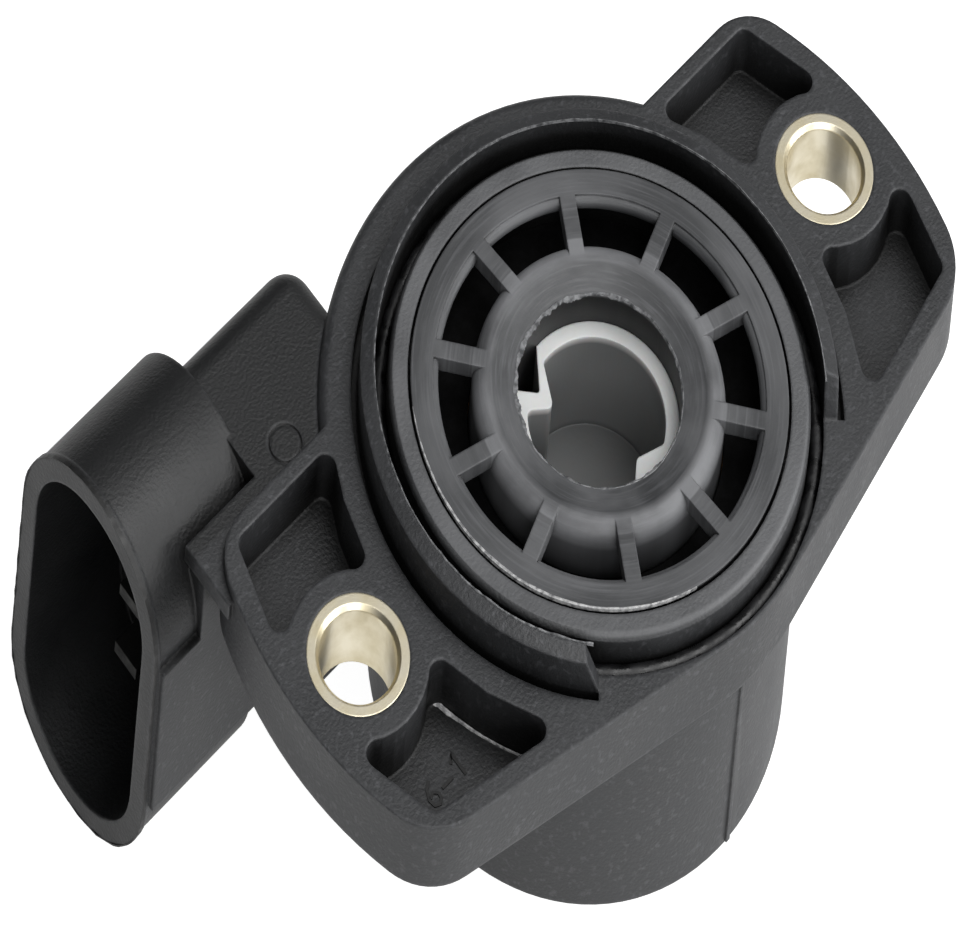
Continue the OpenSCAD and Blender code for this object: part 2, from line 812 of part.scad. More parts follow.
// The rounded bead that runs along the rim's inner edge
module rim_bead() {
    rotate_extrude() translate([rim_in_r, rotor_top - bead_drop - bead_r]) circle(r = bead_r, $fn = 48);
}

module stop_lug() {
    intersection() {
        ring(lug_in_r, lug_out_r, lug_bottom, lug_h + bite);
        rotate([0, 0, lug_start]) translate([0, -lug_w / 2, lug_bottom])
            cube([rotor_r, lug_w, lug_h + bite]);
    }
}

module rotor() {
    color(dark_plastic) {
        rotor_hub();
        rotor_spokes();
        ring(rim_in_r, rotor_r, rim_bottom, rim_t);
        rim_bead();
        stop_lug();
    }
}

// The wedge of a drive key, or of the hollow behind one, as drawn on the socket's floor
module key_wedge(turn, crest_r, sides) {
    crest = crest_r * [cos(turn), sin(turn)];
    a = turn + sides[0];
    b = turn + sides[1];
    corner_wedge(crest, [cos(a), sin(a)], [cos(b), sin(b)], 2 * socket_r);
}

// What the spindle's end may fill: a circle less the two drive keys, its corners rounded
module socket_void() {
    offset(r = key_r) offset(r = -2 * key_r) offset(r = key_r) difference() {
        circle(r = socket_in_r);
        key_wedge(key_a, socket_in_r - key_a_in, key_a_sides);
        key_wedge(key_b, socket_in_r - key_b_in, key_b_sides);
    }
}

// The hollow behind a drive key, open to the bore's wall
module key_hollow(turn, key_in, sides) {
    offset(r = hollow_r) offset(delta = -hollow_r)
        key_wedge(turn + hollow_turn, socket_in_r - key_in + key_skin, sides);
}

module drive_socket() {
    color(natural_plastic) {
        disc(socket_r, -bore_depth, -bore_depth + socket_floor);
        translate([0, 0, -bore_depth]) linear_extrude(bore_depth - socket_top) difference() {
            circle(r = socket_r);
            socket_void();
            key_hollow(key_a, key_a_in, key_a_sides);
            key_hollow(key_b, key_b_in, key_b_sides);
        }
    }
}

// The soft ring that keeps dirt out of the bearing
module dust_seal() {
    color(rubber) ring(hub_r + dust_seal_gap, well_r - seat_gap, -well_depth, dust_seal_t);
}

module bearing_sleeve() {
    color(bronze) ring(sleeve_in_r, sleeve_out_r, -bearing_bottom, bearing_bottom - well_depth);
}

module thrust_washer() {
    color(steel) ring(hub_r + ring_gap, ring_out_r, -ring_top + ring_gap / 2, washer_t - ring_gap / 2);
}

// The open ring that snaps into the hub's groove
module retaining_ring() {
    color(steel) difference() {
        ring(hub_r - ring_groove + ring_gap, ring_out_r, -ring_bottom, ring_t);
        rotate([0, 0, 90]) translate([0, -hub_r / 4, -ring_bottom - over])
            cube([ring_out_r + over, hub_r / 2, ring_t + 2 * over]);
    }
}

// Places the two rivets of the wiper that starts at angle turn
module at_wiper_rivets(turn) {
    for (share = rivet_share)
        rotate([0, 0, turn + share * wiper_spread]) translate([wiper_base_r, 0, 0]) children();
}

module at_all_wiper_rivets() {
    for (turn = [inner_turn, outer_turn]) at_wiper_rivets(turn) children();
}

// The ring under the hub that holds the wipers
module wiper_carrier() {
    color(natural_plastic) difference() {
        ring(hub_r + seat_gap, carrier_r, -carrier_bottom, carrier_t);
        at_all_wiper_rivets() disc(wiper_rivet_r + seat_gap, -carrier_bottom - over, -carrier_top + over);
    }
}

// A sprung wiper: a curved strip under the carrier, an arm in to its track's radius and a finger
// that slopes down towards the track
module wiper(r_mid, turn) {
    r_low = min(r_mid, wiper_base_r) - wiper_w / 2;
    r_high = wiper_base_r + wiper_w / 2;
    base_z = -carrier_bottom - strip_t;
    tip_z = -track_top + wiper_gap;
    foot_end = finger_slope + finger_foot;
    color(tinned) difference() {
        rotate([0, 0, turn]) {
            rotate_extrude(angle = wiper_spread)
                translate([wiper_base_r - wiper_w / 2, base_z]) square([wiper_w, strip_t]);
            translate([r_low, 0, base_z]) cube([r_high - r_low, wiper_w, strip_t]);
            along_x(r_low, r_low + wiper_w) polygon([
                [wiper_w, base_z],
                [wiper_w, base_z + strip_t],
                [0, base_z + strip_t],
                [-finger_slope, tip_z + strip_t],
                [-foot_end, tip_z + strip_t],
                [-foot_end, tip_z],
                [-finger_slope, tip_z],
                [0, base_z]
            ]);
        }
        at_wiper_rivets(turn) disc(wiper_rivet_r + seat_gap, base_z - over, base_z + strip_t + over);
    }
}

module wiper_inner() {
    wiper(collector_r + collector_w / 2, inner_turn);
}

module wiper_outer() {
    wiper(resistor_r + resistor_w / 2, outer_turn);
}

// A rivet with a flat head at each end of its grip
module rivet(r, z0, z1) {
    disc(r, z0 - rivet_head, z1 + rivet_head);
    disc(r * 1.5, z0 - rivet_head, z0);
    disc(r * 1.5, z1, z1 + rivet_head);
}

module wiper_rivets() {
    color(brass) at_all_wiper_rivets() rivet(wiper_rivet_r, -carrier_bottom - strip_t, -carrier_top);
}

// Places a copy at each contact's pad
module at_pads() {
    for (a = pad_angle) rotate([0, 0, a]) translate([pad_r, 0, 0]) children();
}

module resistor_board() {
    color(laminate) difference() {
        disc(board_r, -board_bottom, -board_top);
        disc(board_hole_r, -board_bottom - over, -board_top + over);
        at_pads() disc(rivet_r + seat_gap, -board_bottom - over, -board_top + over);
    }
}

// A printed band between two radii, from angle a to angle b
module printed_arc(r_in, r_out, a, b) {
    rotate([0, 0, a]) rotate_extrude(angle = b - a)
        translate([r_in, -board_top]) square([r_out - r_in, track_t]);
}

// A printed lead from radius r out to just short of the contact's tail at angle a
module printed_lead(r, a) {
    rotate([0, 0, a]) translate([r, -lead_w / 2, -board_top])
        cube([pad_r - pad_disc_r - lead_gap - r, lead_w, track_t]);
}

module resistor_track() {
    r = resistor_r + resistor_w / 2;
    color(carbon_ink) {
        printed_arc(resistor_r, resistor_r + resistor_w, track_from, track_to);
        printed_arc(r - lead_w / 2, r + lead_w / 2, track_to - lead_lap, pad_angle[0]);
        printed_arc(r - lead_w / 2, r + lead_w / 2, pad_angle[2] - 360, track_from + lead_lap);
        printed_lead(r, pad_angle[0]);
        printed_lead(r, pad_angle[2]);
    }
}

module collector_track() {
    r = collector_r + collector_w / 2;
    color(silver_ink) {
        printed_arc(collector_r, collector_r + collector_w, track_from + inner_turn - outer_turn, track_to);
        printed_arc(r - lead_w / 2, r + lead_w / 2, track_to - lead_lap, pad_angle[1]);
        printed_lead(r, pad_angle[1]);
    }
}

// A contact with the hole for its rivet
module contact(i) {
    color(tinned) difference() {
        contact_body(i, 0);
        rotate([0, 0, pad_angle[i]]) translate([pad_r, 0, 0])
            disc(rivet_r + seat_gap, tail_bottom - over, tail_top + over);
    }
}

module contact_top() {
    contact(0);
}

module contact_middle() {
    contact(1);
}

module contact_bottom() {
    contact(2);
}

module board_rivets() {
    color(brass) at_pads() rivet(rivet_r, -board_bottom, tail_top);
}

module cover_gasket() {
    color(rubber) ring(board_seat_r, cover_r, -cover_top, gasket_t);
}

// The disc that closes the can, with a rim inside that holds the board up and a moulded ring outside
module rear_cover() {
    rim_out_r = board_r - cover_rim_gap;
    rim_h = cover_top + bite - board_bottom - board_clamp_gap;
    color(black_plastic) difference() {
        union() {
            disc(cover_r, -can_depth, -cover_top);
            ring(rim_out_r - cover_rim_wall, rim_out_r, -cover_top - bite, rim_h);
        }
        ring(cover_ring_r, cover_ring_r + cover_ring_w, -can_depth - over, over + cover_ring_depth);
    }
}

housing();
bush_left();
bush_right();
face_seal();
rotor();
drive_socket();
dust_seal();
bearing_sleeve();
thrust_washer();
retaining_ring();
wiper_carrier();
wiper_inner();
wiper_outer();
wiper_rivets();
resistor_board();
resistor_track();
collector_track();
contact_top();
contact_middle();
contact_bottom();
board_rivets();
cover_gasket();
rear_cover();
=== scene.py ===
"""A throttle position sensor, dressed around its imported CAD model.

The camera stands where the photograph's stood. The photograph is squeezed sideways, and the
camera's tilted picture plane gives the same squeeze, so the object itself keeps its true shape.
"""

import json
import math

import bmesh
import bpy
import numpy as np
from mathutils import Matrix, Vector, noise


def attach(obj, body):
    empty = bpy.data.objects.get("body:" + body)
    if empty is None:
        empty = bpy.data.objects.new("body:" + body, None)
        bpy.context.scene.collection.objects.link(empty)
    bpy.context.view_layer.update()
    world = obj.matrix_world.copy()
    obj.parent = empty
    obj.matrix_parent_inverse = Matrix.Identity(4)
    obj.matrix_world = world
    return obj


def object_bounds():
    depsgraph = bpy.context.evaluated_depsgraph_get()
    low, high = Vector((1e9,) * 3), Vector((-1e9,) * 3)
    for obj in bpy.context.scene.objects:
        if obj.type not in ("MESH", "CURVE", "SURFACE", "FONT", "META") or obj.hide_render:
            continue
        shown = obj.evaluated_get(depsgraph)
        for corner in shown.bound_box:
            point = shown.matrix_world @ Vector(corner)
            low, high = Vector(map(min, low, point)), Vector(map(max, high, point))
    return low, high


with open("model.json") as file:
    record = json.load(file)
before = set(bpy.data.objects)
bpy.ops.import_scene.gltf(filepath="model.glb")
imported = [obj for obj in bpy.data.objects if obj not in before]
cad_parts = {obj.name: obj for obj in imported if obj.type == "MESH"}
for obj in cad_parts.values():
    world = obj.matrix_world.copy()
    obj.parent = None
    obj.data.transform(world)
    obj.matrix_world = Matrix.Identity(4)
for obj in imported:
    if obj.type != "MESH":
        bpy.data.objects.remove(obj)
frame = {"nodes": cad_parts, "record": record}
cad_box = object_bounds()
nodes = frame["nodes"]

MM = 0.001


def linear(hex_colour):
    """An sRGB colour such as "#8a8a8c" as linear RGBA."""
    channels = [int(hex_colour[i : i + 2], 16) / 255 for i in (1, 3, 5)]
    return [c / 12.92 if c <= 0.04045 else ((c + 0.055) / 1.055) ** 2.4 for c in channels] + [1.0]


# The camera and the light

# Places are in millimetres from the rotor axis in the mounting face.
CAMERA_PLACE = (-368.41, -304.42, 632.74)
# The picture plane's directions to the right and up, and from the picture's middle to the camera
PICTURE_RIGHT = (0.726672, -0.682403, 0.079208)
PICTURE_UP = (0.025952, 0.142274, 0.989487)
PICTURE_BACK = (-0.455565, -0.387923, 0.801234)
CAMERA_LENS = 425.64
CAMERA_SENSOR = 36
# In metres
NEAREST_SEEN, FARTHEST_SEEN = 0.01, 10


def make_camera():
    """The camera hangs on a stretched stand, which tilts its picture plane."""
    axes = np.array([PICTURE_RIGHT, PICTURE_UP, PICTURE_BACK]).T
    turn, stretch, rest = np.linalg.svd(axes)
    if np.linalg.det(turn) < 0:
        turn[:, 2] *= -1
        rest[2] *= -1
    if np.linalg.det(rest) < 0:
        rest[2] *= -1
        stretch[2] *= -1
    stand = bpy.data.objects.new("camera_stand", None)
    camera = bpy.data.objects.new("camera", bpy.data.cameras.new("camera"))
    for item in (stand, camera):
        bpy.context.scene.collection.objects.link(item)
    place = Matrix.Translation(Vector(CAMERA_PLACE) * MM)
    stand.matrix_world = (
        place @ Matrix(turn.tolist()).to_4x4() @ Matrix.Diagonal((*stretch.tolist(), 1.0))
    )
    camera.parent = stand
    camera.matrix_parent_inverse = Matrix.Identity(4)
    camera.matrix_basis = Matrix(rest.tolist()).to_4x4()
    camera.data.lens = CAMERA_LENS
    camera.data.sensor_width = CAMERA_SENSOR
    camera.data.clip_start = NEAREST_SEEN
    camera.data.clip_end = FARTHEST_SEEN
    bpy.context.scene.camera = camera


def softbox(name, azimuth, elevation, distance, size, watts):
    """A square lamp that faces the rotor. Azimuth and elevation are in degrees, distance and size
    in metres."""
    lamp = bpy.data.objects.new(name, bpy.data.lights.new(name, "AREA"))
    lamp.data.size = size
    lamp.data.energy = watts
    a, e = math.radians(azimuth), math.radians(elevation)
    back = Vector((math.cos(a) * math.cos(e), math.sin(a) * math.cos(e), math.sin(e)))
    lamp.location = back * distance
    lamp.rotation_euler = back.to_track_quat("Z", "Y").to_euler()
    bpy.context.scene.collection.objects.link(lamp)


def add_node(tree, kind, inputs=None, **settings):
    """Adds one node. Settings are its properties. Inputs are its sockets' values, with colours in
    sRGB hex, or what feeds them: a socket, or a node by its first output."""
    made = tree.nodes.new("ShaderNode" + kind)
    for name, value in settings.items():
        setattr(made, name, value)
    for name, value in (inputs or {}).items():
        if isinstance(value, bpy.types.Node):
            value = value.outputs[0]
        if isinstance(value, bpy.types.NodeSocket):
            tree.links.new(value, made.inputs[name])
        else:
            made.inputs[name].default_value = linear(value) if isinstance(value, str) else value
    return made


def ray_kinds(tree):
    """The kinds of ray, and a mask that is 1 for rays from the camera and through glass."""
    rays = add_node(tree, "LightPath").outputs
    seen = {0: rays["Is Camera Ray"], 1: rays["Is Transmission Ray"]}
    return rays, add_node(tree, "Math", seen, operation="MAXIMUM")


# Each lamp's name, azimuth, elevation, distance, size and watts
LAMPS = [
    ("overhead", -35, 72, 0.6, 0.45, 1.75),
    ("low_right", -62, 16, 0.7, 0.4, 2.4),
    ("near_camera", 232, 42, 0.6, 0.35, 1.0),
]
WHITE = "#ffffff"
ROOM_GREY = "#4e4e4e"
FLOOR_GREY = "#d8d8d8"
FLOOR_GLOW = 0.92
# The part shades the floor near it, so its gloss sees a dimmer floor.
FLOOR_IN_GLOSS = 0.55
FLOOR_RADIUS = 3.0
FLOOR_SIDES = 64
# The tent round the table is brightest towards the photograph's right, and dim at the back.
BRIGHT_SIDE = (0.3, -0.6, 0.74)
DARK_SIDE_LEVEL = 0.05
# How far a way points to the bright side, from where the tent starts to brighten to its brightest
TENT_STARTS, TENT_BRIGHTEST = 0.1, 1.0


def make_room():
    """A dim grey room that shows as white. In gloss it is a white tent, lit from one side."""
    world = bpy.data.worlds.new("room")
    bpy.context.scene.world = world
    world.use_nodes = True
    tree = world.node_tree
    tree.nodes.clear()
    dim = add_node(tree, "Background", {"Color": ROOM_GREY})
    white = add_node(tree, "Background", {"Strength": 1.0, "Color": WHITE})
    way = add_node(tree, "TexCoord").outputs["Generated"]
    side = add_node(tree, "VectorMath", {0: way, 1: BRIGHT_SIDE}, operation="DOT_PRODUCT")
    tent_range = {1: TENT_STARTS, 2: TENT_BRIGHTEST, 3: DARK_SIDE_LEVEL, 4: 1.0}
    level = add_node(tree, "MapRange", {0: side.outputs["Value"], **tent_range})
    tent = add_node(tree, "Background", {"Strength": level, "Color": WHITE})
    rays, seen = ray_kinds(tree)
    lit = add_node(tree, "MixShader", {0: rays["Is Glossy Ray"], 1: dim, 2: tent})
    shown = add_node(tree, "MixShader", {0: seen, 1: lit, 2: white})
    add_node(tree, "OutputWorld", {"Surface": shown})


def make_floor():
    """A pale floor that shows as white and keeps the soft shadow."""
    mesh = bpy.data.meshes.new("floor")
    sheet = bmesh.new()
    bmesh.ops.create_circle(sheet, cap_ends=True, segments=FLOOR_SIDES, radius=FLOOR_RADIUS)
    sheet.to_mesh(mesh)
    sheet.free()
    floor = bpy.data.objects.new("floor", mesh)
    floor.location.z = cad_box[0].z
    bpy.context.scene.collection.objects.link(floor)
    paint = bpy.data.materials.new("floor_paint")
    paint.use_nodes = True
    tree = paint.node_tree
    tree.nodes.clear()
    matte = add_node(tree, "BsdfDiffuse", {"Color": FLOOR_GREY})
    rays, seen = ray_kinds(tree)
    gloss = {0: rays["Is Glossy Ray"], 1: FLOOR_IN_GLOSS}
    gloss = add_node(tree, "Math", gloss, operation="MULTIPLY")
    share = add_node(tree, "Math", {0: seen, 1: gloss}, operation="MAXIMUM")
    glow = add_node(tree, "Math", {0: share, 1: FLOOR_GLOW}, operation="MULTIPLY")
    light = add_node(tree, "Emission", {"Strength": glow})
    both = add_node(tree, "AddShader", {0: matte, 1: light})
    add_node(tree, "OutputMaterial", {"Surface": both})
    mesh.materials.append(paint)


# Finishes


def new_finish(name, **shader_inputs):
    """A material with one Principled shader, whose inputs are given by name with _ for a space."""
    made = bpy.data.materials.new(name)
    made.use_nodes = True
    tree = made.node_tree
    tree.nodes.clear()
    values = {key.replace("_", " "): value for key, value in shader_inputs.items()}
    shader = add_node(tree, "BsdfPrincipled", values)
    add_node(tree, "OutputMaterial", {"Surface": shader})
    return made, tree, shader


def feed(tree, shader, colour, relief, roughness=None, normal=None):
    """Links what varies over the surface into a finish's shader. relief lists height patterns with
    their real depths in millimetres, on top of normal. roughness is a pattern, two of its values,
    and how rough the surface is at each."""
    for height, depth_mm in relief:
        values = {"Height": height, "Distance": depth_mm * MM}
        if normal:
            values["Normal"] = normal
        normal = add_node(tree, "Bump", values)
    tree.links.new(colour, shader.inputs["Base Color"])
    tree.links.new(normal.outputs[0], shader.inputs["Normal"])
    if roughness:
        rough = add_node(tree, "MapRange", dict(enumerate(roughness)))
        tree.links.new(rough.outputs[0], shader.inputs["Roughness"])


def layered(tree, colour, *layers):
    """A colour built up in layers. Each layer is a pattern, its values where the layer starts and
    where it covers most, how much it covers there, and the layer's colour."""
    for pattern, start, full, most, over in layers:
        share = add_node(tree, "MapRange", {0: pattern, 1: start, 2: full, 4: most})
        mixed = add_node(tree, "Mix", {0: share, 6: colour, 7: over}, data_type="RGBA")
        colour = mixed.outputs[2]
    return colour


def speckle(tree, grain_mm, detail=2.0, stretch=None):
    """Noise with grains of grain_mm across. stretch lists the scale along each axis."""
    place = add_node(tree, "TexCoord").outputs["Object"]
    if stretch:
        place = add_node(tree, "Mapping", {"Vector": place, "Scale": stretch})
    values = {"Vector": place, "Scale": 1 / (grain_mm * MM), "Detail": detail}
    return add_node(tree, "TexNoise", values).outputs["Fac"]


def whereabouts(tree):
    """Places round the rotor axis, in metres: the flat offset, the distance, the coordinates."""
    axes = add_node(tree, "SeparateXYZ", {0: add_node(tree, "TexCoord").outputs["Object"]}).outputs
    flat = add_node(tree, "CombineXYZ", {"X": axes["X"], "Y": axes["Y"]})
    radius = add_node(tree, "VectorMath", {0: flat}, operation="LENGTH").outputs["Value"]
    return flat, radius, axes


def turned(tree, ring_mm, sweep, detail=3.0):
    """Noise drawn out round the rotor axis, as on a turned face: fine rings ring_mm apart. A larger
    sweep makes the streaks shorter."""
    flat, radius, _ = whereabouts(tree)
    rings = add_node(tree, "Math", {0: radius, 1: 1 / (ring_mm * MM)}, operation="MULTIPLY")
    toward = add_node(tree, "VectorMath", {0: flat}, operation="NORMALIZE")
    toward = add_node(tree, "VectorMath", {0: toward, "Scale": sweep}, operation="SCALE")
    along = add_node(tree, "SeparateXYZ", {0: toward}).outputs
    spun = add_node(tree, "CombineXYZ", {"X": rings, "Y": along["X"], "Z": along["Y"]})
    values = {"Vector": spun, "Scale": 1.0, "Detail": detail}
    return add_node(tree, "TexNoise", values).outputs["Fac"]


def region(tree, *limits):
    """A mask that is 1 past every limit. A limit is a measure, and its values in millimetres where
    the region starts and where it is full."""
    mask = 1.0
    for measure, start, full in limits:
        past = add_node(tree, "MapRange", {0: measure, 1: start * MM, 2: full * MM})
        mask = add_node(tree, "Math", {0: mask, 1: past}, operation="MULTIPLY")
    return mask


def patchy(tree, mask, pattern, low, high, least, most):
    """A mask made uneven: times least where the pattern is low, times most where it is high."""
    share = add_node(tree, "MapRange", {0: pattern, 1: low, 2: high, 3: least, 4: most})
    return add_node(tree, "Math", {0: mask, 1: share}, operation="MULTIPLY")


# What the rounded and the true normal have in common where an edge starts and where it is full
EDGE_STARTS, EDGE_FULL = 0.995, 0.82
# A spot counts as open with this share of its sky free, and as shut in with the lesser one.
OPEN_SHARE, SHUT_SHARE = 0.72, 0.38


def edge_mask(tree, rounded):
    """A mask that is 1 where the rounded normal turns away from the true one: on the edges."""
    true_normal = add_node(tree, "NewGeometry").outputs["Normal"]
    facing = add_node(tree, "VectorMath", {0: rounded, 1: true_normal}, operation="DOT_PRODUCT")
    facing = facing.outputs["Value"]
    return add_node(tree, "MapRange", {0: facing, 1: EDGE_STARTS, 2: EDGE_FULL})


def recess_shade(tree, reach_mm):
    """A mask for painted shade: 1 deep in grooves and pockets, where little light reaches. Things
    farther off than reach_mm don't count."""
    free = add_node(tree, "AmbientOcclusion", {"Distance": reach_mm * MM}, samples=8).outputs["AO"]
    return add_node(tree, "MapRange", {0: free, 1: OPEN_SHARE, 2: SHUT_SHARE})


# Where the finish changes. Heights are from the mounting face, radii from the rotor axis.
# The round body's radius, and the side of the neck and hood towards the ear
BODY_R = 19.37
CONNECTOR_Y = 11.2
# The collar round the rotor, which a painted highlight makes paler in patches.
COLLAR_R = (13.3, 14.45)
COLLAR_LOW_Z = 0.6
# The rounded edge of the hub, which a painted highlight makes paler
HUB_EDGE_R = (7.9, 8.8)
HUB_EDGE_LOW_Z = 0.3
# Painted shade darkens the wall of the rotor's bore below its lip.
BORE_WALL_R = 6.0
BORE_SHADE_Z = 0.9
# Painted shade greys the drive socket below its rim, and most of all its floor.
SOCKET_TOP_Z = -1.0
SOCKET_FLOOR_Z = -8.0

# Fibres and the mould's spark-eroded skin give moulded nylon a grain of about 0.1 mm. It is drawn
# at 0.22 mm, because a finer one is lost in the picture.
NYLON_GRAIN = 0.22
NYLON_GRAIN_DEPTH = 0.034
NYLON_IOR = 1.53
# The radii that shading gives to sharp edges: moulded nylon, the rotor, brass, the socket, strip
NYLON_EDGE, ROTOR_EDGE, BRASS_EDGE, SOCKET_EDGE, STRIP_EDGE = 0.28, 0.16, 0.12, 0.15, 0.1
EDGE_SAMPLES = 6
# The threads of the board's glass cloth, and how far apart a wave texture of scale 1 has its bands
CLOTH_PITCH = 0.5
WAVE_BAND = 0.314


def ring_mask(tree, radii, low_z, soft=0.1):
    """A mask that is 1 between two radii, above a height."""
    _, radius, place = whereabouts(tree)
    beyond = (radius, radii[0] - soft, radii[0])
    within = (radius, radii[1] + 0.1, radii[1])
    return region(tree, beyond, within, (place["Z"], low_z, low_z + 0.3))


def connector_end(tree):
    """A mask that is 1 on the neck and the hood: beyond the round body and the ears."""
    _, radius, place = whereabouts(tree)
    outside = (radius, BODY_R, BODY_R + 0.3)
    return region(tree, outside, (place["Y"], CONNECTOR_Y, CONNECTOR_Y + 0.4))


def bore_wall_shade(tree):
    """A mask that is 1 on the wall of the rotor's bore, below its lip."""
    _, radius, place = whereabouts(tree)
    within = (radius, BORE_WALL_R, BORE_WALL_R - 0.1)
    return region(tree, within, (place["Z"], BORE_SHADE_Z + 0.1, BORE_SHADE_Z))


# Each finish is named for the real material. Colours are sRGB, sizes are millimetres.


def glass_filled_nylon():
    """Injection-moulded black nylon with glass fibre: satin and mottled. Its edges are paler,
    partly from wear and partly as painted highlight, and the collar round the rotor carries a
    painted highlight. Painted shade darkens the neck and the hood, and the grooves and pockets."""
    made, tree, shader = new_finish("glass_filled_nylon", IOR=NYLON_IOR)
    rounded = add_node(tree, "Bevel", {"Radius": NYLON_EDGE * MM}, samples=EDGE_SAMPLES)
    cloud = speckle(tree, 5.0, 4.0)
    # Painted highlight: the collar is made paler in patches.
    collar = patchy(tree, ring_mask(tree, COLLAR_R, COLLAR_LOW_Z), cloud, 0.25, 0.7, 0.45, 1.0)
    # The edges are paler: partly wear, partly painted highlight.
    edge_wear_and_highlight = patchy(tree, edge_mask(tree, rounded), speckle(tree, 0.9, 3.0), 0.3, 0.65, 0.0, 0.6)
    colour = layered(
        tree,
        "#303133",
        (cloud, 0.35, 0.7, 1.0, "#3c3d3f"),
        (speckle(tree, 0.45, 3.0), 0.56, 0.7, 0.6, "#57585b"),
        # Painted shade: the neck and the hood are darkened.
        (connector_end(tree), 0.0, 1.0, 0.92, "#121314"),
        (collar, 0.0, 1.0, 1.0, "#707173"),
        (edge_wear_and_highlight, 0.0, 1.0, 1.0, "#66676a"),
        # Painted shade: grooves and pockets are darkened.
        (recess_shade(tree, 5.0), 0.0, 1.0, 1.0, "#050505"),
    )
    relief = [(speckle(tree, NYLON_GRAIN), NYLON_GRAIN_DEPTH)]
    feed(tree, shader, colour, relief, (cloud, 0.3, 0.7, 0.42, 0.56), rounded)
    return made


def spun_nylon():
    """The rotor's black nylon: its mould was turned on a lathe, which leaves fine rings that catch
    the light, with chalky worn patches on the hub. Its edges are paler, partly from wear and partly
    as painted highlight, the hub's rounded edge carries a painted highlight, and painted shade
    darkens its grooves and its bore."""
    made, tree, shader = new_finish("spun_nylon", IOR=NYLON_IOR)
    rounded = add_node(tree, "Bevel", {"Radius": ROTOR_EDGE * MM}, samples=EDGE_SAMPLES)
    rings = turned(tree, 0.18, 2.2)
    patches = turned(tree, 2.4, 1.6, detail=5.0)
    # Painted highlight: the hub's rounded edge is made paler in patches.
    hub_edge = ring_mask(tree, HUB_EDGE_R, HUB_EDGE_LOW_Z, soft=0.5)
    # The edges are paler: partly wear, partly painted highlight.
    edge_wear_and_highlight = patchy(tree, edge_mask(tree, rounded), speckle(tree, 0.7, 3.0), 0.3, 0.6, 0.0, 0.5)
    colour = layered(
        tree,
        "#454648",
        (patches, 0.38, 0.68, 1.0, "#6b6c6e"),
        (rings, 0.5, 0.75, 0.45, "#7e7f82"),
        (patchy(tree, hub_edge, patches, 0.3, 0.65, 0.15, 0.6), 0.0, 1.0, 1.0, "#9c9da0"),
        (edge_wear_and_highlight, 0.0, 1.0, 1.0, "#7c7d80"),
        # Painted shade: grooves and pockets are darkened.
        (recess_shade(tree, 2.0), 0.0, 1.0, 1.0, "#0a0a0b"),
        # Painted shade: the bore's wall below its lip is darkened.
        (bore_wall_shade(tree), 0.0, 1.0, 1.0, "#0c0c0d"),
    )
    relief = [(rings, 0.012), (speckle(tree, NYLON_GRAIN), 0.008)]
    feed(tree, shader, colour, relief, (patches, 0.3, 0.7, 0.4, 0.6), rounded)
    return made


def torn_flash():
    """The torn skin of nylon that squeezes out at a mould's joint: thin, dry and pale."""
    made, tree, shader = new_finish("torn_nylon_flash", IOR=NYLON_IOR, Roughness=0.7)
    colour = layered(tree, "#4a4b4d", (speckle(tree, 0.4), 0.35, 0.65, 1.0, "#97989a"))
    feed(tree, shader, colour, [(speckle(tree, 0.15), 0.02)])
    return made


def turned_brass(name, colour, shadow, roughness=0.3):
    """Brass or bronze, machined and dulled by air: cloudy, with a satin shine and scratches along
    the bore, such as a screw or a shaft leaves."""
    made, tree, shader = new_finish(name, Metallic=1.0)
    rounded = add_node(tree, "Bevel", {"Radius": BRASS_EDGE * MM}, samples=EDGE_SAMPLES)
    cloud = speckle(tree, 1.6, 4.0)
    colour = layered(tree, colour, (cloud, 0.35, 0.7, 1.0, shadow))
    relief = [(speckle(tree, 0.12, 3.0, stretch=(1.0, 1.0, 0.12)), 0.006)]
    feed(tree, shader, colour, relief, (cloud, 0.3, 0.7, roughness, roughness + 0.14), rounded)
    return made


def nitrile_rubber():
    """Moulded nitrile rubber with a trace of grease: near black, with broken sharp highlights."""
    made, tree, shader = new_finish("nitrile_rubber", IOR=1.52)
    wet = speckle(tree, 1.1, 3.0)
    colour = layered(tree, "#070708", (wet, 0.4, 0.7, 1.0, "#131315"))
    feed(tree, shader, colour, [(speckle(tree, 0.5, 3.0), 0.05)], (wet, 0.35, 0.65, 0.2, 0.6))
    return made


def painted_shade_nylon():
    """Near-black nylon for painted shade: smooth, and the darkest of the nylons."""
    made, tree, shader = new_finish("painted_shade_nylon", IOR=NYLON_IOR)
    cloud = speckle(tree, 0.5)
    colour = layered(tree, "#060606", (cloud, 0.4, 0.7, 1.0, "#0e0e0f"))
    feed(tree, shader, colour, [(cloud, 0.01)], (cloud, 0.3, 0.7, 0.4, 0.6))
    return made


def painted_highlight_nylon():
    """Pale nylon for painted highlights, flecked near white in specks."""
    made, tree, shader = new_finish("painted_highlight_nylon", IOR=NYLON_IOR, Roughness=0.5)
    colour = layered(tree, "#77787a", (speckle(tree, 0.35, 4.0), 0.35, 0.62, 1.0, "#dcdcdc"))
    feed(tree, shader, colour, [(speckle(tree, 0.15), 0.02)])
    return made


def dusty_rubber():
    """The dust seal's rough rubber: dry, dirty and so dull that the well looks empty."""
    made, tree, shader = new_finish("dusty_rubber", Roughness=0.95, Specular_IOR_Level=0.12)
    colour = layered(tree, "#070707", (speckle(tree, 0.6, 3.0), 0.4, 0.75, 1.0, "#101011"))
    feed(tree, shader, colour, [(speckle(tree, 0.3), 0.02)])
    return made


